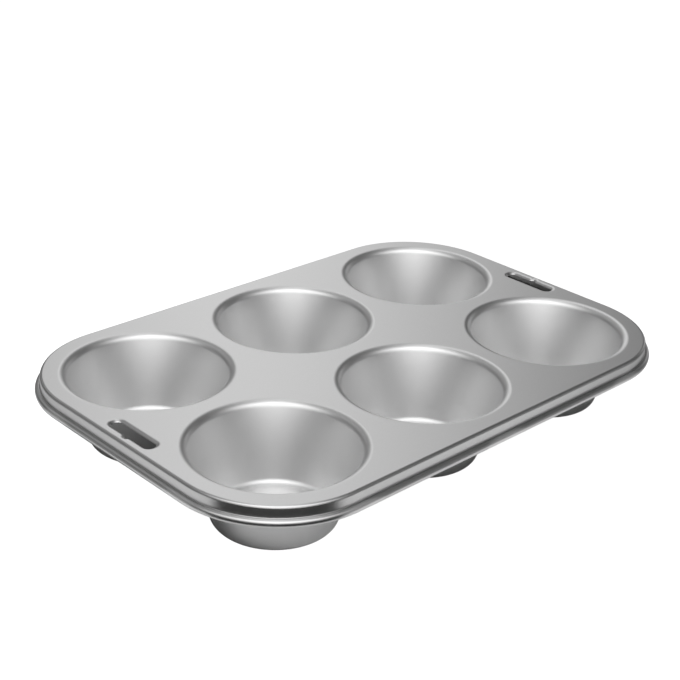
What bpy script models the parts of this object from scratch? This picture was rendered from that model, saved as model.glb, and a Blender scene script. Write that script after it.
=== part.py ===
"""Jumbo muffin pan for six: deep-drawn sheet steel with a wired rim.

Metres, +Z up, +X along the pan. The origin is on the surface that the pan
stands on, under its middle. Every piece is drawn from the deck's upper face,
which is its z = 0, and is then lifted by the pan's height.

The pan is pressed from one sheet. It is drawn here as its deck, which ends in
the cups' lips and in the rolled rim, and as six cups, which go on where the
lips' walls end. A wire lies loose in the roll.
"""

import math

import bmesh
import bpy

MM = 0.001

# Sheet, wire and clearances
SHEET = 0.6 * MM
WIRE_RADIUS = 1.4 * MM
WIRE_CLEARANCE = 0.3 * MM
JOINT_GAP = 0.3 * MM

# Cups: sizes of the face that holds the batter
CUP_COLUMNS = 3
CUP_ROWS = 2
MOUTH_RADIUS = 50.0 * MM
FLOOR_RADIUS = 32.7 * MM
PAN_HEIGHT = 44.4 * MM
LIP_RADIUS = 4.5 * MM
LIP_WALL = 1.2 * MM
FLOOR_FILLET = 4.3 * MM

# Deck around and between the mouths
CUP_WEB = 9.0 * MM
END_MARGIN = 9.5 * MM
SIDE_MARGIN = 10.2 * MM

# Rim: bend, skirt and the roll around the wire
EDGE_BEND_RADIUS = 1.8 * MM
WIRE_DROP = 9.0 * MM
WIRE_OFFSET = 0.7 * MM
FOOT_RADIUS = 1.0 * MM
CURL_WRAP = 315

# Hanging slots, one near each end, each with a notch for the nail
SLOT_LENGTH = 39.4 * MM
SLOT_WIDTH = 12.0 * MM
SLOT_CORNER_RADIUS = 5.6 * MM
SLOT_EDGE_MARGIN = 3.5 * MM
SLOT_LIP_RADIUS = 3.4 * MM
SLOT_LIP_TURN = 48
NOTCH_RADIUS = 3.6 * MM
NOTCH_DEPTH = 1.6 * MM
NOTCH_BLEND_RADIUS = 0.8 * MM

# How finely the curves are cut
CUP_SEGMENTS = 40
CORNER_SEGMENTS = 9
LIP_STEPS = 3
FILLET_STEPS = 4
BEND_STEPS = 3
FOOT_STEPS = 2
CURL_STEPS = 10
SLOT_CORNER_STEPS = 4
NOTCH_STEPS = 6
NOTCH_BLEND_STEPS = 2
WIRE_SIDES = 8
SMOOTH_ANGLE = math.radians(40)

# Sizes that follow
CUP_PITCH = 2 * MOUTH_RADIUS + CUP_WEB
CORNER_RADIUS = MOUTH_RADIUS + END_MARGIN
HALF_LENGTH = (CUP_COLUMNS - 1) / 2 * CUP_PITCH + MOUTH_RADIUS + END_MARGIN
HALF_WIDTH = (CUP_ROWS - 1) / 2 * CUP_PITCH + MOUTH_RADIUS + SIDE_MARGIN
FLOOR_DEPTH = PAN_HEIGHT - SHEET
CURL_RADIUS = WIRE_RADIUS + WIRE_CLEARANCE + SHEET
SLOT_OUT = HALF_LENGTH - SLOT_EDGE_MARGIN - SLOT_WIDTH / 2


def arc(centre_u, centre_v, radius, start, end, steps):
    """Points of an arc from one angle to another, in degrees, both ends included."""
    points = []
    for step in range(steps + 1):
        angle = math.radians(start + (end - start) * step / steps)
        points.append((centre_u + radius * math.cos(angle), centre_v + radius * math.sin(angle)))
    return points


def wall_draft():
    """The cup wall's lean from upright: it runs from the floor's corner past the lip's curve, just touching it."""
    across = MOUTH_RADIUS - FLOOR_RADIUS
    up = FLOOR_DEPTH - LIP_RADIUS
    return math.atan2(across, up) - math.asin(LIP_RADIUS / math.hypot(across, up))


def along_wall(point, distance):
    """The point that lies so far down the cup's wall from another one."""
    draft = wall_draft()
    return point[0] - distance * math.sin(draft), point[1] - distance * math.cos(draft)


def lip_profile():
    """Radius and height along a cup's lip: the curve in from the deck, then the first of the wall."""
    wall_angle = 180 - math.degrees(wall_draft())
    curve = arc(MOUTH_RADIUS, -LIP_RADIUS, LIP_RADIUS, 90, wall_angle, LIP_STEPS)
    return curve + [along_wall(curve[-1], LIP_WALL)]


def cup_profile():
    """Radius and height down a cup: its wall from just under the lip, then the curve into the floor."""
    draft = wall_draft()
    top = along_wall(lip_profile()[-1], JOINT_GAP)
    turn = math.pi / 2 - draft
    centre_radius = FLOOR_RADIUS - FLOOR_FILLET * math.tan(turn / 2)
    centre_height = FLOOR_FILLET - FLOOR_DEPTH
    curve = arc(centre_radius, centre_height, FLOOR_FILLET, -math.degrees(draft), -90, FILLET_STEPS)
    return [top] + curve


def rim_profile():
    """Distance out from the deck's edge and height: the bend, the skirt, its foot and the roll around the wire."""
    reach = FOOT_RADIUS + CURL_RADIUS
    foot_height = math.sqrt(reach**2 - (WIRE_OFFSET - FOOT_RADIUS) ** 2) - WIRE_DROP
    to_wire = math.degrees(math.atan2(-WIRE_DROP - foot_height, WIRE_OFFSET - FOOT_RADIUS)) % 360
    bend = arc(-EDGE_BEND_RADIUS, -EDGE_BEND_RADIUS, EDGE_BEND_RADIUS, 90, 0, BEND_STEPS)
    foot = arc(FOOT_RADIUS, foot_height, FOOT_RADIUS, 180, to_wire, FOOT_STEPS)
    curl_start = to_wire - 180
    curl = arc(WIRE_OFFSET, -WIRE_DROP, CURL_RADIUS, curl_start, curl_start - CURL_WRAP, CURL_STEPS)
    return bend + foot + curl[1:]


def slot_lip_profile():
    """Distance in from the slot's outline and height: the edge dips into the slot without standing upright."""
    return arc(0, -SLOT_LIP_RADIUS, SLOT_LIP_RADIUS, 90, 90 - SLOT_LIP_TURN, BEND_STEPS)


def rim_outline(out):
    """The deck's outline, so far out from its edge, anticlockwise."""
    points = []
    across = HALF_LENGTH - CORNER_RADIUS
    along = HALF_WIDTH - CORNER_RADIUS
    for side_x, side_y, start in ((1, 1, 0), (-1, 1, 90), (-1, -1, 180), (1, -1, 270)):
        radius = CORNER_RADIUS + out
        points += arc(side_x * across, side_y * along, radius, start, start + 90, CORNER_SEGMENTS)
    return points


def mouth_outline(centre, radius):
    """A circle around a cup's centre, clockwise as every hole's outline is."""
    return arc(centre[0], centre[1], radius, 0, -360, CUP_SEGMENTS)[:-1]


def slot_outline(end, inset):
    """A hanging slot's outline, so far inside its edge, clockwise. End is 1 or -1, and the notch is on its outer side."""
    side = SLOT_WIDTH / 2 - SLOT_CORNER_RADIUS
    tip = SLOT_LENGTH / 2 - SLOT_CORNER_RADIUS
    corner = SLOT_CORNER_RADIUS - inset
    notch_x = SLOT_WIDTH / 2 + NOTCH_DEPTH - NOTCH_RADIUS
    blend_x = SLOT_WIDTH / 2 + NOTCH_BLEND_RADIUS
    blend_y = math.sqrt((NOTCH_RADIUS + NOTCH_BLEND_RADIUS) ** 2 - (blend_x - notch_x) ** 2)
    meet = math.degrees(math.atan2(blend_y, blend_x - notch_x))
    blend = NOTCH_BLEND_RADIUS + inset
    points = arc(side, tip, corner, 90, 0, SLOT_CORNER_STEPS)
    points += arc(blend_x, blend_y, blend, 180, 180 + meet, NOTCH_BLEND_STEPS)
    points += arc(notch_x, 0, NOTCH_RADIUS - inset, meet, -meet, NOTCH_STEPS)[1:-1]
    points += arc(blend_x, -blend_y, blend, 180 - meet, 180, NOTCH_BLEND_STEPS)
    points += arc(side, -tip, corner, 0, -90, SLOT_CORNER_STEPS)
    points += arc(-side, -tip, corner, -90, -180, SLOT_CORNER_STEPS)
    points += arc(-side, tip, corner, 180, 90, SLOT_CORNER_STEPS)
    return [(end * (SLOT_OUT + x), end * y) for x, y in points]


def cup_centres():
    """The cups' centres, from the front left."""
    centres = []
    for row in range(CUP_ROWS):
        for column in range(CUP_COLUMNS):
            x = (column - (CUP_COLUMNS - 1) / 2) * CUP_PITCH
            y = (row - (CUP_ROWS - 1) / 2) * CUP_PITCH
            centres.append((x, y))
    return centres


def add_loop(mesh, outline, height):
    """New vertices along an outline at one height."""
    return [mesh.verts.new((x, y, height)) for x, y in outline]


def skin(mesh, loop, next_loop):
    """Faces between two loops of as many vertices. They face up where an outer loop, or a hole's, leads away."""
    for i in range(len(loop)):
        mesh.faces.new((loop[i - 1], next_loop[i - 1], next_loop[i], loop[i]))


def turn_down(mesh, outline, profile):
    """The faces that lead away from the deck along a profile. It returns the first loop's edges, for the deck to meet.

    Outline is a function from the profile's first value, a distance or a radius, to a closed outline.
    """
    loops = [add_loop(mesh, outline(reach), height) for reach, height in profile]
    for loop, next_loop in zip(loops, loops[1:]):
        skin(mesh, loop, next_loop)
    return [mesh.edges.get((loops[0][i - 1], loops[0][i])) for i in range(len(loops[0]))]


def steel(name, colour, roughness):
    """A plain metal finish."""
    material = bpy.data.materials.new(name)
    material.use_nodes = True
    shader = material.node_tree.nodes["Principled BSDF"]
    shader.inputs["Base Color"].default_value = (*colour, 1)
    shader.inputs["Metallic"].default_value = 1
    shader.inputs["Roughness"].default_value = roughness
    return material


def smooth_mesh(mesh, name, material):
    """A Blender mesh of the drawn faces, shaded smooth over its curves."""
    data = bpy.data.meshes.new(name)
    mesh.to_mesh(data)
    mesh.free()
    data.shade_smooth()
    data.set_sharp_from_angle(angle=SMOOTH_ANGLE)
    data.materials.append(material)
    return data


def place(name, data, pan, x=0.0, y=0.0):
    """An object of the pan, with its z = 0 at the deck's upper face."""
    piece = bpy.data.objects.new(name, data)
    piece.location = (x, y, PAN_HEIGHT)
    piece.parent = pan
    bpy.context.scene.collection.objects.link(piece)
    return piece


def give_gauge(piece):
    """Turns a drawn face into sheet, which lies behind that face."""
    sheet = piece.modifiers.new("gauge", "SOLIDIFY")
    sheet.thickness = SHEET
    sheet.offset = -1
    sheet.use_even_offset = True
    sheet.use_quality_normals = True


def deck_mesh():
    """The deck's upper face, with the rim, the cups' lips and the slots' edges that lead down from it."""
    mesh = bmesh.new()
    borders = turn_down(mesh, rim_outline, rim_profile())
    for centre in cup_centres():
        borders += turn_down(mesh, lambda radius: mouth_outline(centre, radius), lip_profile())
    for end in (1, -1):
        borders += turn_down(mesh, lambda inset: slot_outline(end, inset), slot_lip_profile())
    bmesh.ops.triangle_fill(mesh, use_beauty=True, edges=borders, normal=(0, 0, 1))
    return smooth_mesh(mesh, "deck", steel("deck_steel", (0.62, 0.62, 0.62), 0.34))


def cup_mesh():
    """One cup's inner face around its own axis."""
    mesh = bmesh.new()
    profile = cup_profile()
    loops = [add_loop(mesh, mouth_outline((0, 0), radius), height) for radius, height in profile]
    for loop, next_loop in zip(loops, loops[1:]):
        skin(mesh, loop, next_loop)
    mesh.faces.new(reversed(loops[-1]))
    return smooth_mesh(mesh, "cup", steel("cup_steel", (0.60, 0.60, 0.60), 0.32))


def wire_mesh():
    """The rim's wire, a closed ring along the deck's edge."""
    mesh = bmesh.new()
    section = arc(WIRE_OFFSET, -WIRE_DROP, WIRE_RADIUS, 0, -360, WIRE_SIDES)[:-1]
    loops = [add_loop(mesh, rim_outline(out), height) for out, height in section]
    for i in range(len(loops)):
        skin(mesh, loops[i - 1], loops[i])
    return smooth_mesh(mesh, "rim_wire", steel("wire_steel", (0.50, 0.50, 0.50), 0.45))


def build():
    """The whole pan, in a scene that held anything before."""
    for old in list(bpy.data.objects):
        bpy.data.objects.remove(old)
    pan = bpy.data.objects.new("muffin_pan", None)
    bpy.context.scene.collection.objects.link(pan)
    give_gauge(place("deck", deck_mesh(), pan))
    cup = cup_mesh()
    for number, (x, y) in enumerate(cup_centres(), start=1):
        give_gauge(place(f"cup_{number}", cup, pan, x, y))
    place("rim_wire", wire_mesh(), pan)


build()
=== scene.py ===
"""Looks of the jumbo muffin pan: one pressed sheet, the wire in its rim, and a plain studio.

Metres, +Z up, +X along the pan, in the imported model's frame. The pressing is
drawn as its upper face from the deck outwards: over each cup's lip and down to
the cup's floor, over the hanging slots' edges, and over the deck's edge into
the roll around the wire. It is then given the sheet's gauge.
"""

import logging
import math
from collections.abc import Callable, Sequence
from dataclasses import dataclass, field
from enum import Enum

import bmesh
import bpy
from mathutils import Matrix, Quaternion, Vector


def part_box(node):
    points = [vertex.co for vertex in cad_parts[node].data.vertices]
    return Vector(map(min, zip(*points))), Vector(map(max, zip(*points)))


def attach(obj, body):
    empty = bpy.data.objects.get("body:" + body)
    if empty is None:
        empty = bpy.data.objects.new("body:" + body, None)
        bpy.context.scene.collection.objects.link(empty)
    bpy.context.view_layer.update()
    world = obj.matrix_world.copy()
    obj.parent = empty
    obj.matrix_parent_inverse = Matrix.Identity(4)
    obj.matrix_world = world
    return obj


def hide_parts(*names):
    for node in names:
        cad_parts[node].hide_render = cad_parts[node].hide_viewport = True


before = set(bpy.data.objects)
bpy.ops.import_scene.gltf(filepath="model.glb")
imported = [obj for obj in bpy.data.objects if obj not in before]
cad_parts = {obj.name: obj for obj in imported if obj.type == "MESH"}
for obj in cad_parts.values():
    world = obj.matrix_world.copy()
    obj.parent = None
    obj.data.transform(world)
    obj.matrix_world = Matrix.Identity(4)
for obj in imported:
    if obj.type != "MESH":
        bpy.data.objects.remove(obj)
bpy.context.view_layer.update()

MM = 0.001
SHARP_ANGLE = math.radians(35)
NOISE_MIDDLE = 0.5
MARK_DETAIL = 3.0
CARD_ROUGHNESS = 0.9
CARD_FIBRE_SCALE = 800.0

Point = tuple[float, float]

log = logging.getLogger("muffin_pan")


class End(Enum):
    """The pan's two short ends, by the side of the middle that they lie on."""

    RIGHT = 1
    LEFT = -1


class Ray(Enum):
    """The rays that see the backdrop's own brightness, as the Light Path node names them."""

    CAMERA = "Is Camera Ray"
    GLOSSY = "Is Glossy Ray"
    TRANSMISSION = "Is Transmission Ray"


def arc(centre: Point, radius: float, start: float, end: float, steps: int) -> list[Point]:
    """Points of an arc, both ends included.

    Args:
        centre: the arc's centre.
        radius: its radius.
        start: the angle that it starts at, in degrees.
        end: the angle that it ends at, in degrees.
        steps: how many chords it is cut into.

    Returns:
        The points in order.
    """
    angles = [math.radians(start + (end - start) * step / steps) for step in range(steps + 1)]
    return [(centre[0] + radius * math.cos(a), centre[1] + radius * math.sin(a)) for a in angles]


@dataclass(frozen=True)
class Stock:
    """What the pan is made from, and how its rim's wire sits."""

    sheet: float = 0.6 * MM
    wire_radius: float = 1.4 * MM
    wire_drop: float = 9.0 * MM
    wire_offset: float = 0.7 * MM


@dataclass(frozen=True)
class CupForm:
    """A drawn cup's inner face, with heights measured from the deck's upper face."""

    depth: float
    mouth_radius: float = 50.1 * MM
    floor_radius: float = 32.7 * MM
    lip_radius: float = 5.2 * MM
    floor_fillet: float = 4.9 * MM
    segments: int = 144
    lip_steps: int = 14
    wall_steps: int = 6
    fillet_steps: int = 12

    def draft(self) -> float:
        """The wall's lean from upright, in radians: it just touches the lip's curve."""
        across = self.mouth_radius - self.floor_radius
        up = self.depth - self.lip_radius
        return math.atan2(across, up) - math.asin(self.lip_radius / math.hypot(across, up))

    def profile(self, guard: float) -> list[Point]:
        """The cup from the deck to the edge of its flat floor.

        Args:
            guard: width of the flat ring that is drawn at either end.

        Returns:
            Radius and height of each loop.
        """
        draft = self.draft()
        lean = math.degrees(draft)
        lip_centre = (self.mouth_radius, -self.lip_radius)
        lip = arc(lip_centre, self.lip_radius, 90, 180 - lean, self.lip_steps)
        inset = self.floor_fillet * math.tan((math.pi / 2 - draft) / 2)
        fillet_centre = (self.floor_radius - inset, self.floor_fillet - self.depth)
        fillet = arc(fillet_centre, self.floor_fillet, -lean, -90, self.fillet_steps)
        wall = []
        for step in range(1, self.wall_steps):
            share = step / self.wall_steps
            wall.append(tuple(a + (b - a) * share for a, b in zip(lip[-1], fillet[0])))
        first = (self.mouth_radius + guard, 0.0)
        last = (fillet[-1][0] - guard, fillet[-1][1])
        return [first] + lip + wall + fillet + [last]

    def outline(self, centre: Point, radius: float) -> list[Point]:
        """A circle around the cup's axis, clockwise as every hole's outline is."""
        return arc(centre, radius, 0, -360, self.segments)[:-1]


@dataclass(frozen=True)
class RimForm:
    """The deck's edge: its outline, its bend, the skirt and the open roll around the wire."""

    half_length: float
    half_width: float
    corner_radius: float
    curl_radius: float
    stock: Stock
    bend_radius: float = 1.8 * MM
    foot_radius: float = 0.5 * MM
    curl_wrap: float = 315.0
    corner_segments: int = 36
    bend_steps: int = 10
    foot_steps: int = 6
    curl_steps: int = 42

    def profile(self, guard: float) -> list[Point]:
        """The rim from the deck to the end of its roll.

        Args:
            guard: width of the flat ring that is drawn on the deck.

        Returns:
            Distance out from the deck's edge and height of each loop.
        """
        wire = (self.stock.wire_offset, -self.stock.wire_drop)
        reach = self.foot_radius + self.curl_radius
        beside = wire[0] - self.foot_radius
        foot_height = math.sqrt(reach**2 - beside**2) + wire[1]
        to_wire = math.degrees(math.atan2(wire[1] - foot_height, beside)) % 360
        bend_centre = (-self.bend_radius, -self.bend_radius)
        bend = arc(bend_centre, self.bend_radius, 90, 0, self.bend_steps)
        foot_centre = (self.foot_radius, foot_height)
        foot = arc(foot_centre, self.foot_radius, 180, to_wire, self.foot_steps)
        start = to_wire - 180
        curl = arc(wire, self.curl_radius, start, start - self.curl_wrap, self.curl_steps)
        return [(-self.bend_radius - guard, 0.0)] + bend + foot + curl[1:]

    def outline(self, out: float) -> list[Point]:
        """The deck's outline, so far out from its edge, anticlockwise."""
        along = self.half_length - self.corner_radius
        across = self.half_width - self.corner_radius
        radius = self.corner_radius + out
        points = []
        for side_x, side_y, start in ((1, 1, 0), (-1, 1, 90), (-1, -1, 180), (1, -1, 270)):
            centre = (side_x * along, side_y * across)
            points += arc(centre, radius, start, start + 90, self.corner_segments)
        return points


@dataclass(frozen=True)
class SlotForm:
    """A hanging slot: a long hole whose edge dips, with a notch in its outer side for the nail.

    Deck edge is that edge's distance from the pan's middle, and the slot keeps
    a margin from it.
    """

    deck_edge: float
    edge_margin: float = 3.5 * MM
    length: float = 39.4 * MM
    width: float = 12.0 * MM
    corner_radius: float = 5.6 * MM
    lip_radius: float = 3.4 * MM
    lip_turn: float = 48.0
    notch_radius: float = 3.6 * MM
    notch_depth: float = 1.6 * MM
    blend_radius: float = 0.8 * MM
    corner_steps: int = 14
    notch_steps: int = 18
    blend_steps: int = 8
    lip_steps: int = 8

    def profile(self, guard: float) -> list[Point]:
        """The dip: distance in from the outline, and height. A flat ring, guard wide, leads it."""
        dip = arc((0, -self.lip_radius), self.lip_radius, 90, 90 - self.lip_turn, self.lip_steps)
        return [(-guard, 0.0)] + dip

    def outline(self, end: End, inset: float) -> list[Point]:
        """The slot's outline, so far inside its edge, clockwise.

        Args:
            end: the end of the pan that the slot is in.
            inset: how far inside the slot's edge.

        Returns:
            The outline's points.
        """
        side = self.width / 2 - self.corner_radius
        tip = self.length / 2 - self.corner_radius
        corner = self.corner_radius - inset
        notch_x = self.width / 2 + self.notch_depth - self.notch_radius
        blend_x = self.width / 2 + self.blend_radius
        reach = self.notch_radius + self.blend_radius
        blend_y = math.sqrt(reach**2 - (blend_x - notch_x) ** 2)
        meet = math.degrees(math.atan2(blend_y, blend_x - notch_x))
        blend = self.blend_radius + inset
        points = arc((side, tip), corner, 90, 0, self.corner_steps)
        points += arc((blend_x, blend_y), blend, 180, 180 + meet, self.blend_steps)
        points += arc((notch_x, 0), self.notch_radius - inset, meet, -meet, self.notch_steps)[1:-1]
        points += arc((blend_x, -blend_y), blend, 180 - meet, 180, self.blend_steps)
        points += arc((side, -tip), corner, 0, -90, self.corner_steps)
        points += arc((-side, -tip), corner, -90, -180, self.corner_steps)
        points += arc((-side, tip), corner, 180, 90, self.corner_steps)
        middle = self.deck_edge - self.edge_margin - self.width / 2
        return [(end.value * (middle + x), end.value * y) for x, y in points]


class SheetDrawing:
    """One face of sheet metal, drawn from a flat deck outwards.

    Outer outlines run anticlockwise and holes clockwise, seen from above, so
    that one rule faces every strip up or outwards.
    """

    def __init__(self, height: float) -> None:
        """Starts an empty drawing.

        Args:
            height: the deck's height above the frame's origin.
        """
        self._height = height
        self._mesh = bmesh.new()
        self._borders: list[bmesh.types.BMEdge] = []

    def _loop(self, outline: Sequence[Point], height: float) -> list[bmesh.types.BMVert]:
        """New vertices along an outline, at a height above the deck."""
        return [self._mesh.verts.new((x, y, self._height + height)) for x, y in outline]

    def lead_down(
        self, outline: Callable[[float], list[Point]], profile: Sequence[Point]
    ) -> list[bmesh.types.BMVert]:
        """Draws the strips that lead away from the deck along a profile.

        Args:
            outline: gives a closed outline for a profile's first value.
            profile: distance or radius, and height, of each loop.

        Returns:
            The last loop's vertices.
        """
        loops = [self._loop(outline(reach), height) for reach, height in profile]
        count = len(loops[0])
        for loop, beyond in zip(loops, loops[1:]):
            for i in range(count):
                self._mesh.faces.new((loop[i - 1], beyond[i - 1], beyond[i], loop[i]))
        edge = self._mesh.edges.get
        self._borders += [edge((loops[0][i - 1], loops[0][i])) for i in range(count)]
        return loops[-1]

    def floor(self, loop: Sequence[bmesh.types.BMVert]) -> None:
        """Closes a cup with its flat floor."""
        self._mesh.faces.new(reversed(loop))

    def deck(self) -> None:
        """Fills the flat deck between all the borders."""
        bmesh.ops.triangle_fill(
            self._mesh, use_beauty=True, edges=self._borders, normal=(0, 0, 1)
        )

    def finish(self, name: str) -> bpy.types.Mesh:
        """Ends the drawing and returns it as a smooth mesh."""
        data = bpy.data.meshes.new(name)
        self._mesh.to_mesh(data)
        self._mesh.free()
        data.shade_smooth()
        return data


def place(name: str, data: bpy.types.Mesh) -> bpy.types.Object:
    """Links a new object at the frame's origin and returns it."""
    piece = bpy.data.objects.new(name, data)
    bpy.context.scene.collection.objects.link(piece)
    return piece


class NodeTable:
    """A node tree with short calls for the nodes that the finishes are mixed from."""

    def __init__(self, tree: bpy.types.NodeTree) -> None:
        """Takes the tree that the nodes go into."""
        self._tree = tree

    def add(self, kind: str, **settings: object) -> bpy.types.Node:
        """A new node of a kind, with its settings given by name."""
        node = self._tree.nodes.new(kind)
        for name, value in settings.items():
            setattr(node, name, value)
        return node

    def feed(self, socket: bpy.types.NodeSocket, value: object) -> None:
        """Links a socket to another one, or sets its value.

        Args:
            socket: the input to feed.
            value: an output socket, a number, or a tuple.
        """
        if isinstance(value, bpy.types.NodeSocket):
            self._tree.links.new(value, socket)
        else:
            socket.default_value = value

    def math(self, operation: str, *values: object) -> bpy.types.NodeSocket:
        """One arithmetic step on numbers.

        Args:
            operation: the Math node's operation.
            values: its inputs, each a number or a socket.

        Returns:
            The result's socket.
        """
        node = self.add("ShaderNodeMath", operation=operation)
        for socket, value in zip(node.inputs, values):
            self.feed(socket, value)
        return node.outputs[0]

    def vector(self, operation: str, *values: object) -> bpy.types.Node:
        """One arithmetic step on vectors, as its node, since the result may be a number."""
        node = self.add("ShaderNodeVectorMath", operation=operation)
        for socket, value in zip(node.inputs, values):
            self.feed(socket, value)
        return node

    def ramp(
        self, value: object, low: float, high: float, to_low: float = 0.0, to_high: float = 1.0
    ) -> bpy.types.NodeSocket:
        """A smooth step from one number to another.

        Args:
            value: what is looked at.
            low: where the step starts.
            high: where it ends.
            to_low: the result before it.
            to_high: the result after it.

        Returns:
            The result's socket.
        """
        node = self.add("ShaderNodeMapRange", interpolation_type="SMOOTHSTEP")
        for socket, number in zip(node.inputs, (value, low, high, to_low, to_high)):
            self.feed(socket, number)
        return node.outputs[0]

    def noise(self, place: object, scale: float, detail: float = 2.0) -> bpy.types.NodeSocket:
        """Smooth noise around a half.

        Args:
            place: the coordinates.
            scale: how many features there are in a unit.
            detail: how many finer layers are added.

        Returns:
            The noise's socket.
        """
        node = self.add("ShaderNodeTexNoise")
        self.feed(node.inputs["Vector"], place)
        self.feed(node.inputs["Scale"], scale)
        self.feed(node.inputs["Detail"], detail)
        return node.outputs["Fac"]

    def grey(self, shade: bpy.types.NodeSocket) -> bpy.types.NodeSocket:
        """A grey colour of a shade that varies over the surface."""
        node = self.add("ShaderNodeCombineColor")
        for socket in node.inputs:
            self.feed(socket, shade)
        return node.outputs[0]

    def backdrop(self, seen: object, reflected: float) -> bpy.types.NodeSocket:
        """A backdrop's own brightness, for the rays that it is meant for.

        Args:
            seen: how bright the camera sees it, as a number or a socket.
            reflected: how bright metal and glass see it.

        Returns:
            The brightness's socket.
        """
        paths = self.add("ShaderNodeLightPath").outputs
        direct = self.math("MULTIPLY", paths[Ray.CAMERA.value], seen)
        bounced = self.math("MAXIMUM", paths[Ray.GLOSSY.value], paths[Ray.TRANSMISSION.value])
        return self.math("MULTIPLY_ADD", bounced, reflected, direct)


def new_finish(name: str) -> tuple[bpy.types.Material, NodeTable, bpy.types.Node]:
    """Starts a finish.

    Args:
        name: the material's name.

    Returns:
        The new material, its nodes and its Principled shader.
    """
    material = bpy.data.materials.new(name)
    material.use_nodes = True
    tree = material.node_tree
    return material, NodeTable(tree), tree.nodes["Principled BSDF"]


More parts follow.
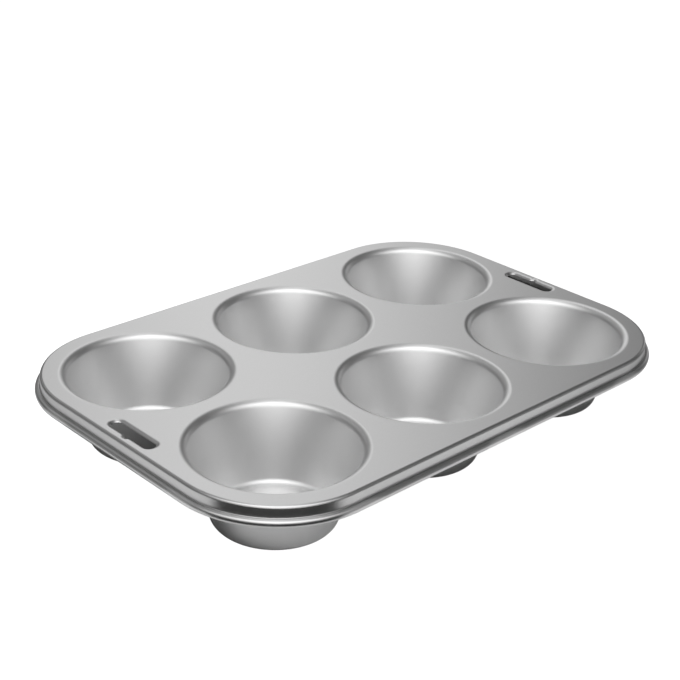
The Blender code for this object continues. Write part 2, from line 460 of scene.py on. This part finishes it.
@dataclass(frozen=True)
class SatinSteel:
    """Cold-rolled sheet after pressing: rolling grain on the deck and draw marks down the cups.

    Narrow creases are darkened by an ambient occlusion mask: painted shade. The drawn values are
    the cups', which take over from the deck's along each lip; the cups' lighter grey is painted
    light that lifts the shade inside them. A scale counts a pattern's features in a metre, but
    draw_scale those in a radian of a cup.
    """

    cup_pitch: float
    cup_reach: float
    lip_blend: float = 4.0 * MM
    grey: float = 0.66
    # Painted light: the cups' grey is lighter than the deck's to lift the shade inside the cups.
    cup_grey_with_painted_light: float = 0.81
    roughness: float = 0.34
    drawn_roughness: float = 0.42
    grain_scale: tuple[float, float, float] = (35.0, 1100.0, 1100.0)
    draw_scale: float = 60.0
    draw_drift: float = 12.0
    mark_shade: float = 0.02
    mark_roughness: float = 0.04
    clouding: float = 0.05
    cloud_scale: float = 28.0
    cloud_share: float = 0.6
    mottle_roughness: float = 0.06
    fleck: float = 0.06
    speckle_scale: float = 2400.0
    speckle_height: float = 0.5
    grain_depth: float = 0.001 * MM
    grain_strength: float = 0.4
    # Reach, ramp, depth and samples of the painted shade in narrow creases.
    crease_reach: float = 2.0 * MM
    crease_open: Point = (0.5, 0.9)
    painted_crease_shade: float = 0.25
    crease_samples: int = 4

    def _around_cup(
        self, table: NodeTable, where: bpy.types.NodeSocket
    ) -> tuple[bpy.types.NodeSocket, bpy.types.NodeSocket]:
        """How a place lies to the nearest cup.

        Args:
            table: the finish's nodes.
            where: the place.

        Returns:
            Coordinates that change around the cup's axis and hardly along it,
            and the distance from that axis.
        """
        parts = table.add("ShaderNodeSeparateXYZ")
        table.feed(parts.inputs[0], where)
        x, y, z = parts.outputs
        half = self.cup_pitch / 2
        across_x = table.math("WRAP", x, half, -half)
        across_y = table.math("SUBTRACT", table.math("WRAP", y, self.cup_pitch, 0.0), half)
        turn = table.math("ARCTAN2", across_y, across_x)
        ring = table.add("ShaderNodeCombineXYZ")
        table.feed(ring.inputs[0], table.math("COSINE", turn))
        table.feed(ring.inputs[1], table.math("SINE", turn))
        table.feed(ring.inputs[2], table.math("MULTIPLY", z, self.draw_drift))
        square = table.math("MULTIPLY", across_y, across_y)
        away = table.math("SQRT", table.math("MULTIPLY_ADD", across_x, across_x, square))
        return ring.outputs[0], away

    def _marks(
        self, table: NodeTable, where: bpy.types.NodeSocket
    ) -> tuple[bpy.types.NodeSocket, bpy.types.NodeSocket]:
        """Draw marks in the cups and rolling grain on the deck.

        Args:
            table: the finish's nodes.
            where: the place.

        Returns:
            The marks, and how far the place belongs to the deck.
        """
        around, away = self._around_cup(table, where)
        on_deck = table.ramp(away, self.cup_reach - self.lip_blend, self.cup_reach)
        rolled = table.vector("MULTIPLY", where, self.grain_scale).outputs[0]
        marks = table.add("ShaderNodeMix", data_type="FLOAT")
        table.feed(marks.inputs["Factor"], on_deck)
        table.feed(marks.inputs["A"], table.noise(around, self.draw_scale, MARK_DETAIL))
        table.feed(marks.inputs["B"], table.noise(rolled, 1.0, MARK_DETAIL))
        return marks.outputs["Result"], on_deck

    def material(self, name: str) -> bpy.types.Material:
        """The finish as a new material.

        Args:
            name: the material's name.

        Returns:
            The material.
        """
        material, table, shader = new_finish(name)
        shader.inputs["Metallic"].default_value = 1.0
        where = table.add("ShaderNodeTexCoord").outputs["Object"]
        marked, on_deck = self._marks(table, where)
        speckle = table.noise(where, self.speckle_scale)
        clouds = table.noise(where, self.cloud_scale, MARK_DETAIL)
        clouds = table.math("MULTIPLY", clouds, self.cloud_share)
        specks = table.math("MULTIPLY", speckle, 1 - self.cloud_share)
        mottled = table.math("ADD", clouds, specks)
        half = self.clouding / 2
        # Painted light: the cups take a lighter grey than the deck, lifting the shade inside them.
        shade = table.ramp(on_deck, 0.0, 1.0, self.cup_grey_with_painted_light - half, self.grey - half)
        shade = table.math("MULTIPLY_ADD", mottled, self.clouding, shade)
        shade = table.math("SUBTRACT", shade, self.mark_shade / 2)
        shade = table.math("MULTIPLY_ADD", marked, self.mark_shade, shade)
        fleck = table.math("MULTIPLY", table.math("SUBTRACT", speckle, NOISE_MIDDLE), on_deck)
        shade = table.math("MULTIPLY_ADD", fleck, self.fleck, shade)
        # Painted shade: ambient occlusion darkens the steel's colour in narrow creases and
        # hollows.
        crease = table.add(
            "ShaderNodeAmbientOcclusion", samples=self.crease_samples, only_local=True
        )
        crease.inputs["Distance"].default_value = self.crease_reach
        unshaded = table.ramp(crease.outputs["AO"], *self.crease_open, self.painted_crease_shade, 1.0)
        shade = table.math("MULTIPLY", shade, unshaded)
        table.feed(shader.inputs["Base Color"], table.grey(shade))
        half = (self.mottle_roughness + self.mark_roughness) / 2
        rough = table.ramp(on_deck, 0.0, 1.0, self.drawn_roughness - half, self.roughness - half)
        rough = table.math("MULTIPLY_ADD", mottled, self.mottle_roughness, rough)
        rough = table.math("MULTIPLY_ADD", marked, self.mark_roughness, rough)
        table.feed(shader.inputs["Roughness"], rough)
        bump = table.add("ShaderNodeBump")
        bump.inputs["Strength"].default_value = self.grain_strength
        bump.inputs["Distance"].default_value = self.grain_depth
        specks = table.math("MULTIPLY", speckle, self.speckle_height)
        table.feed(bump.inputs["Height"], table.math("ADD", marked, specks))
        table.feed(shader.inputs["Normal"], bump.outputs[0])
        return material


@dataclass(frozen=True)
class DrawnWire:
    """The rim's wire: a little duller than the sheet, and mottled by the die."""

    grey: float = 0.50
    roughness: float = 0.42
    mark_scale: float = 900.0
    mark_shade: float = 0.12
    mark_roughness: float = 0.1

    def material(self, name: str) -> bpy.types.Material:
        """The finish as a new material.

        Args:
            name: the material's name.

        Returns:
            The material.
        """
        material, table, shader = new_finish(name)
        shader.inputs["Metallic"].default_value = 1.0
        where = table.add("ShaderNodeTexCoord").outputs["Object"]
        marks = table.noise(where, self.mark_scale, MARK_DETAIL)
        dullest = self.grey - self.mark_shade / 2
        shade = table.math("MULTIPLY_ADD", marks, self.mark_shade, dullest)
        table.feed(shader.inputs["Base Color"], table.grey(shade))
        rough = table.math("MULTIPLY_ADD", marks, self.mark_roughness, self.roughness)
        table.feed(shader.inputs["Roughness"], rough)
        return material


@dataclass
class Pressing:
    """The pan's one sheet: deck, lips, cups, slots, skirt and roll."""

    height: float
    stock: Stock
    rim: RimForm
    cup: CupForm
    slot: SlotForm
    centres: list[Point]
    finish: SatinSteel
    guard: float = 0.03 * MM

    def _face(self) -> bpy.types.Mesh:
        """The sheet's upper face, before it has a gauge."""
        drawing = SheetDrawing(self.height)
        drawing.lead_down(self.rim.outline, self.rim.profile(self.guard))
        for centre in self.centres:
            drawing.floor(
                drawing.lead_down(
                    lambda radius: self.cup.outline(centre, radius), self.cup.profile(self.guard)
                )
            )
        for end in End:
            drawing.lead_down(
                lambda inset: self.slot.outline(end, inset), self.slot.profile(self.guard)
            )
        drawing.deck()
        return drawing.finish("pressing")

    def _give_gauge(self, piece: bpy.types.Object) -> None:
        """Turns the drawn face into sheet, which lies behind that face, with crisp cut edges."""
        gauge = piece.modifiers.new("gauge", "SOLIDIFY")
        gauge.thickness = self.stock.sheet
        gauge.offset = -1
        gauge.use_even_offset = True
        gauge.use_quality_normals = True
        drawn = piece.data
        shown = piece.evaluated_get(bpy.context.evaluated_depsgraph_get())
        piece.data = bpy.data.meshes.new_from_object(shown)
        piece.modifiers.clear()
        bpy.data.meshes.remove(drawn)
        piece.data.set_sharp_from_angle(angle=SHARP_ANGLE)

    def build(self) -> bpy.types.Object:
        """Makes the pressing, dresses it and sets it in the frame.

        Returns:
            The piece.
        """
        piece = place("pressing", self._face())
        self._give_gauge(piece)
        piece.data.materials.clear()
        piece.data.materials.append(self.finish.material("satin_steel"))
        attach(piece, "root")
        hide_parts("deck", *(f"cup_{n}" for n in range(1, len(self.centres) + 1)))
        return piece


@dataclass
class RimWire:
    """The closed ring of wire that lies loose in the roll."""

    height: float
    stock: Stock
    rim: RimForm
    finish: DrawnWire
    sides: int = 24

    def build(self) -> bpy.types.Object:
        """Makes the wire, dresses it and sets it in the frame.

        Returns:
            The piece.
        """
        mesh = bmesh.new()
        centre = (self.stock.wire_offset, self.height - self.stock.wire_drop)
        section = arc(centre, self.stock.wire_radius, 0, -360, self.sides)[:-1]
        loops = []
        for out, z in section:
            loops.append([mesh.verts.new((x, y, z)) for x, y in self.rim.outline(out)])
        for index, loop in enumerate(loops):
            before = loops[index - 1]
            for i in range(len(loop)):
                mesh.faces.new((before[i - 1], loop[i - 1], loop[i], before[i]))
        data = bpy.data.meshes.new("wire")
        mesh.to_mesh(data)
        mesh.free()
        data.shade_smooth()
        piece = place("wire", data)
        data.materials.append(self.finish.material("drawn_wire"))
        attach(piece, "root")
        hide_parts("rim_wire")
        return piece


@dataclass(frozen=True)
class BoardFinish:
    """White board: part of its brightness is its own, for the rays that see a backdrop.

    Its colour is painted with a soft pool of light around a place before the pan, and darkens
    farther out: painted light, which the metal sees in its reflections.
    """

    albedo: float = 0.90
    outer_albedo: float = 0.15
    own: float = 0.88
    outer_own: float = 0.96
    reflected: float = 0.14
    pool_before: float = 0.17
    pool_start: float = 0.20
    pool_end: float = 0.45
    mottle_scale: float = 6.0
    mottle_shade: float = 0.01

    def material(self, name: str, near: Vector) -> bpy.types.Material:
        """The finish as a new material.

        Args:
            name: the material's name.
            near: the level direction towards the camera.

        Returns:
            The material.
        """
        material = bpy.data.materials.new(name)
        material.use_nodes = True
        tree = material.node_tree
        tree.nodes.clear()
        table = NodeTable(tree)
        board = table.add("ShaderNodeBsdfDiffuse")
        where = table.add("ShaderNodeTexCoord").outputs["Object"]
        centre = tuple(near * self.pool_before)
        away = table.vector("DISTANCE", where, centre).outputs["Value"]
        pool = (self.pool_start, self.pool_end)
        # Painted light: the board's colour is pale in a pool before the pan and dark farther out.
        albedo = table.ramp(away, *pool, self.albedo, self.outer_albedo)
        mottle = table.noise(where, self.mottle_scale)
        shade = table.math("MULTIPLY_ADD", mottle, self.mottle_shade, albedo)
        table.feed(board.inputs["Color"], table.grey(shade))
        glow = table.add("ShaderNodeEmission")
        seen = table.ramp(away, *pool, self.own, self.outer_own)
        table.feed(glow.inputs["Strength"], table.backdrop(seen, self.reflected))
        both = table.add("ShaderNodeAddShader")
        table.feed(both.inputs[0], board.outputs[0])
        table.feed(both.inputs[1], glow.outputs[0])
        end = table.add("ShaderNodeOutputMaterial")
        table.feed(end.inputs["Surface"], both.outputs[0])
        return material


@dataclass(frozen=True)
class CardFinish:
    """Matt black card."""

    grey: float = 0.02

    def material(self, name: str) -> bpy.types.Material:
        """The finish as a new material.

        Args:
            name: the material's name.

        Returns:
            The material.
        """
        material, table, shader = new_finish(name)
        shader.inputs["Roughness"].default_value = CARD_ROUGHNESS
        where = table.add("ShaderNodeTexCoord").outputs["Object"]
        fibre = table.noise(where, CARD_FIBRE_SCALE)
        shade = table.math("MULTIPLY_ADD", fibre, self.grey, self.grey / 2)
        table.feed(shader.inputs["Base Color"], table.grey(shade))
        return material


@dataclass(frozen=True)
class SoftPanel:
    """A soft panel of light, by the directions that it fills as the pan sees them.

    Rise runs from the far horizon over the top to the horizon on the camera's
    side, and aside from the camera's left to its right, both in degrees. An
    edge is how wide the panel's light fades there.
    """

    radiance: float
    rise: Point
    aside: Point
    rise_edge: float
    side_edge: float

    @staticmethod
    def _span(
        table: NodeTable, value: bpy.types.NodeSocket, span: Point, edge: float
    ) -> bpy.types.NodeSocket:
        """One inside a span and nothing outside it, with soft ends.

        Args:
            table: the world's nodes.
            value: an angle, in degrees.
            span: where the middles of both soft ends lie.
            edge: how wide each soft end is.

        Returns:
            The result's socket.
        """
        half = edge / 2
        start = table.ramp(value, span[0] - half, span[0] + half)
        end = table.ramp(value, span[1] - half, span[1] + half, 1.0, 0.0)
        return table.math("MULTIPLY", start, end)

    def light(
        self, table: NodeTable, rise: bpy.types.NodeSocket, aside: bpy.types.NodeSocket
    ) -> bpy.types.NodeSocket:
        """The panel's radiance in each direction.

        Args:
            table: the world's nodes.
            rise: the direction's angle over the far horizon.
            aside: its angle to the right.

        Returns:
            The radiance's socket.
        """
        up = self._span(table, rise, self.rise, self.rise_edge)
        over = self._span(table, aside, self.aside, self.side_edge)
        return table.math("MULTIPLY", table.math("MULTIPLY", up, over), self.radiance)


def towards(azimuth: float, elevation: float) -> Vector:
    """Where a viewer stands, as a direction: azimuth 0 looks along +Y, and 90 along -X."""
    turn, rise = math.radians(azimuth), math.radians(elevation)
    return Vector(
        (math.sin(turn) * math.cos(rise), -math.cos(turn) * math.cos(rise), math.sin(rise))
    )


@dataclass(frozen=True)
class Viewpoint:
    """The camera: what it looks at, from where, and its lens and sensor in millimetres."""

    aim: tuple[float, float, float] = (1.0 * MM, 13.9 * MM, 44.4 * MM)
    distance: float = 838.2 * MM
    azimuth: float = -44.417
    elevation: float = 25.528
    roll: float = 2.328
    lens: float = 74.977
    sensor: float = 36.0

    def build(self) -> None:
        """Sets up the camera and makes it the scene's."""
        data = bpy.data.cameras.new("camera")
        data.lens = self.lens
        data.sensor_width = self.sensor
        piece = bpy.data.objects.new("camera", data)
        back = towards(self.azimuth, self.elevation)
        piece.location = Vector(self.aim) + back * self.distance
        piece.rotation_mode = "QUATERNION"
        tilt = Quaternion((0, 0, 1), math.radians(self.roll))
        piece.rotation_quaternion = back.to_track_quat("Z", "Y") @ tilt
        bpy.context.scene.collection.objects.link(piece)
        bpy.context.scene.camera = piece


def stand_card(
    name: str, mesh: bmesh.types.BMesh, finish: bpy.types.Material
) -> bpy.types.Object:
    """Sets a card up in the studio, where only the metal sees it.

    Args:
        name: the card's name.
        mesh: its shape, which this call frees.
        finish: its surface.

    Returns:
        The card.
    """
    data = bpy.data.meshes.new(name)
    mesh.to_mesh(data)
    mesh.free()
    piece = place(name, data)
    data.materials.append(finish)
    piece.visible_camera = False
    piece.visible_diffuse = False
    piece.visible_shadow = False
    return piece


@dataclass(frozen=True)
class EdgeCard:
    """A strip of black card that stands before the front corner and gives the rim its dark band.

    Its angles run around the corner's axis, in degrees from the camera's side
    to the right.
    """

    finish: CardFinish = CardFinish()
    gap: float = 30.0 * MM
    height: float = 46.0 * MM
    thickness: float = 1.0 * MM
    start: float = -38.0
    end: float = 45.0
    steps: int = 24

    def build(self, corner: Point, corner_radius: float, facing: float) -> bpy.types.Object:
        """Stands the card up.

        Args:
            corner: the axis of the pan's front corner.
            corner_radius: the deck's radius around it.
            facing: the camera's azimuth, in degrees.

        Returns:
            The card.
        """
        inner = corner_radius + self.gap
        ahead = facing - 90
        near = arc(corner, inner, ahead + self.start, ahead + self.end, self.steps)
        away = arc(
            corner, inner + self.thickness, ahead + self.end, ahead + self.start, self.steps
        )
        mesh = bmesh.new()
        foot = mesh.faces.new([mesh.verts.new((x, y, 0.0)) for x, y in near + away])
        raised = bmesh.ops.extrude_face_region(mesh, geom=[foot])["geom"]
        tops = [part for part in raised if isinstance(part, bmesh.types.BMVert)]
        bmesh.ops.translate(mesh, verts=tops, vec=(0.0, 0.0, self.height))
        return stand_card("edge_card", mesh, self.finish.material("edge_board"))


@dataclass(frozen=True)
class UnderShadowCard:
    """A card painted with shade, lying under the pan where only the metal sees it; it pales, as
    painted light, before the front cup and at the right end.

    It lies inside the rim at the camera's side and reaches out from under it
    at the other. Each pair is where a pale place starts and where it is full.
    The one before the front cup lies outside the ring around the corner's
    axis, moved to the camera's left by shift, and beyond the band, which is
    measured towards band_turn off the camera. The right end's lies beyond
    end_band, measured towards the azimuth end_turn.
    """

    dark: float = 0.16
    pale: float = 0.90
    inset: float = 8.0 * MM
    overhang: float = 30.0 * MM
    lift: float = 0.05 * MM
    shift: float = 8.0 * MM
    ring: Point = (29.0 * MM, 42.0 * MM)
    band: Point = (90.0 * MM, 110.0 * MM)
    band_turn: float = 26.5
    end_band: Point = (95.0 * MM, 125.0 * MM)
    end_turn: float = 116.5
    fibre_shade: float = 0.02

    def material(self, corner: Point, facing: float) -> bpy.types.Material:
        """The card's finish.

        Args:
            corner: the axis of the pan's front corner.
            facing: the camera's azimuth, in degrees.

        Returns:
            The material.
        """
        material, table, shader = new_finish("under_shadow_board")
        shader.inputs["Roughness"].default_value = CARD_ROUGHNESS
        where = table.add("ShaderNodeTexCoord").outputs["Object"]
        left = towards(facing - 90, 0)
        beside = Vector((*corner, 0.0)) + left * self.shift
        away = table.vector("DISTANCE", where, tuple(beside)).outputs["Value"]
        out = towards(facing + self.band_turn, 0)
        before = table.vector("DOT_PRODUCT", where, tuple(out)).outputs["Value"]
        # Painted shade and light: dark as the pan's shadow underneath, pale in a ring before the
        # front cup and beyond the right end.
        around = table.ramp(away, *self.ring)
        share = table.math("MULTIPLY", around, table.ramp(before, *self.band))
        end = towards(self.end_turn, 0)
        beyond = table.vector("DOT_PRODUCT", where, tuple(end)).outputs["Value"]
        share = table.math("MAXIMUM", share, table.ramp(beyond, *self.end_band))
        shade = table.math("MULTIPLY_ADD", share, self.pale - self.dark, self.dark)
        fibre = table.noise(where, CARD_FIBRE_SCALE)
        shade = table.math("MULTIPLY_ADD", fibre, self.fibre_shade, shade)
        table.feed(shader.inputs["Base Color"], table.grey(shade))
        return material

    def build(self, rim: RimForm, corner: Point, facing: float, floor: float) -> bpy.types.Object:
        """Lays the card down.

        Args:
            rim: the pan's edge, whose outline the card follows.
            corner: the axis of the pan's front corner.
            facing: the camera's azimuth, in degrees.
            floor: the floor's height.

        Returns:
            The card.
        """
        mesh = bmesh.new()
        height = floor + self.lift
        outlines = zip(rim.outline(-self.inset), rim.outline(self.overhang))
        corners = [inner if inner[1] < 0 else outer for inner, outer in outlines]
        mesh.faces.new([mesh.verts.new((x, y, height)) for x, y in corners])
        return stand_card("under_shadow_card", mesh, self.material(corner, facing))


@dataclass
class Studio:
    """A pale floor, two cards for the metal to mirror, soft light and the camera."""

    rim: RimForm
    corner: Point
    view: Viewpoint = field(default_factory=Viewpoint)
    board: BoardFinish = field(default_factory=BoardFinish)
    edge_card: EdgeCard = field(default_factory=EdgeCard)
    under_shadow_card: UnderShadowCard = field(default_factory=UnderShadowCard)
    floor_size: float = 24.0
    floor_gap: float = 0.1 * MM
    room: float = 0.05
    wall_top: float = 14.0
    wall_reflected: float = 0.05
    panels: tuple[SoftPanel, ...] = (
        SoftPanel(1.32, rise=(98.0, 223.0), aside=(-27.0, 32.0), rise_edge=36.0, side_edge=76.0),
        SoftPanel(0.95, rise=(108.0, 134.0), aside=(-48.0, 44.0), rise_edge=24.0, side_edge=24.0),
        SoftPanel(0.80, rise=(66.0, 98.0), aside=(-10.0, 12.0), rise_edge=20.0, side_edge=16.0),
        SoftPanel(1.09, rise=(3.0, 74.0), aside=(-15.0, 6.0), rise_edge=24.0, side_edge=26.0),
        SoftPanel(0.42, rise=(17.0, 86.0), aside=(-48.0, -31.0), rise_edge=20.0, side_edge=24.0),
        SoftPanel(0.60, rise=(0.0, 30.0), aside=(28.0, 44.0), rise_edge=12.0, side_edge=14.0),
        SoftPanel(0.36, rise=(40.0, 89.0), aside=(66.0, 110.0), rise_edge=14.0, side_edge=14.0),
        SoftPanel(0.36, rise=(40.0, 89.0), aside=(-110.0, -66.0), rise_edge=14.0, side_edge=14.0),
    )

    def _floor(self) -> bpy.types.Object:
        """A wide level board just under the pan."""
        half = self.floor_size / 2
        mesh = bmesh.new()
        corners = ((-half, -half), (half, -half), (half, half), (-half, half))
        mesh.faces.new([mesh.verts.new((x, y, -self.floor_gap)) for x, y in corners])
        data = bpy.data.meshes.new("floor")
        mesh.to_mesh(data)
        mesh.free()
        piece = place("floor", data)
        near = towards(self.view.azimuth, 0)
        data.materials.append(self.board.material("white_board", near))
        return piece

    def _world(self) -> None:
        """A dim room with soft panels of light, and a white wall behind the floor's edge."""
        world = bpy.data.worlds.new("room")
        bpy.context.scene.world = world
        world.use_nodes = True
        tree = world.node_tree
        table = NodeTable(tree)
        ray = table.add("ShaderNodeTexCoord").outputs["Generated"]
        far = -towards(self.view.azimuth, 0)
        right = (far.y, -far.x, 0.0)
        along = table.vector("DOT_PRODUCT", ray, tuple(far)).outputs["Value"]
        up = table.vector("DOT_PRODUCT", ray, (0, 0, 1)).outputs["Value"]
        across = table.vector("DOT_PRODUCT", ray, right).outputs["Value"]
        rise = table.math("DEGREES", table.math("ARCTAN2", up, along))
        aside = table.math("DEGREES", table.math("ARCSINE", across))
        light = self.room
        for panel in self.panels:
            light = table.math("ADD", light, panel.light(table, rise, aside))
        wall_sine = math.sin(math.radians(self.wall_top))
        wall = table.ramp(up, wall_sine / 2, wall_sine, 1.0, 0.0)
        white = table.math("MULTIPLY", wall, table.backdrop(1.0, self.wall_reflected))
        background = tree.nodes["Background"]
        table.feed(background.inputs["Color"], (1.0, 1.0, 1.0, 1.0))
        table.feed(background.inputs["Strength"], table.math("ADD", light, white))

    def build(self) -> list[bpy.types.Object]:
        """Builds the floor, the cards, the world and the camera.

        Returns:
            The pieces that stand around the pan.
        """
        facing = self.view.azimuth
        staged = [
            self._floor(),
            self.edge_card.build(self.corner, self.rim.corner_radius, facing),
            self.under_shadow_card.build(self.rim, self.corner, facing, -self.floor_gap),
        ]
        self._world()
        self.view.build()
        bpy.context.scene.view_settings.view_transform = "Standard"
        return staged


def cup_centres() -> list[Point]:
    """The cups' axes, from the middles of the frame's cup nodes.

    Returns:
        Each cup's x and y, in the order of the nodes' numbers.
    """
    names = sorted(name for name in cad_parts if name.startswith("cup_"))
    middles = [sum(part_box(name), Vector()) / 2 for name in names]
    return [(middle.x, middle.y) for middle in middles]


def main() -> None:
    """Builds the pan and the studio around it."""
    logging.basicConfig(level=logging.INFO, format="%(message)s")
    stock = Stock()
    deck_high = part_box("deck")[1]
    wire_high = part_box("rim_wire")[1]
    centres = cup_centres()
    wire_reach = stock.wire_offset + stock.wire_radius
    half_length = wire_high.x - wire_reach
    cup = CupForm(depth=deck_high.z - stock.sheet)
    outermost = max(x for x, _ in centres)
    rim = RimForm(
        half_length=half_length,
        half_width=wire_high.y - wire_reach,
        corner_radius=half_length - outermost,
        curl_radius=deck_high.x - half_length - stock.wire_offset,
        stock=stock,
    )
    slot = SlotForm(deck_edge=half_length)
    steel = SatinSteel(cup_pitch=2 * max(y for _, y in centres), cup_reach=cup.mouth_radius)
    pieces = [
        Pressing(deck_high.z, stock, rim, cup, slot, centres, steel).build(),
        RimWire(deck_high.z, stock, rim, DrawnWire()).build(),
    ]
    front_corner = (-outermost, rim.corner_radius - rim.half_width)
    pieces += Studio(rim, front_corner).build()
    for piece in pieces:
        log.info("%s: %d faces", piece.name, len(piece.data.polygons))


if __name__ == "__main__":
    main()
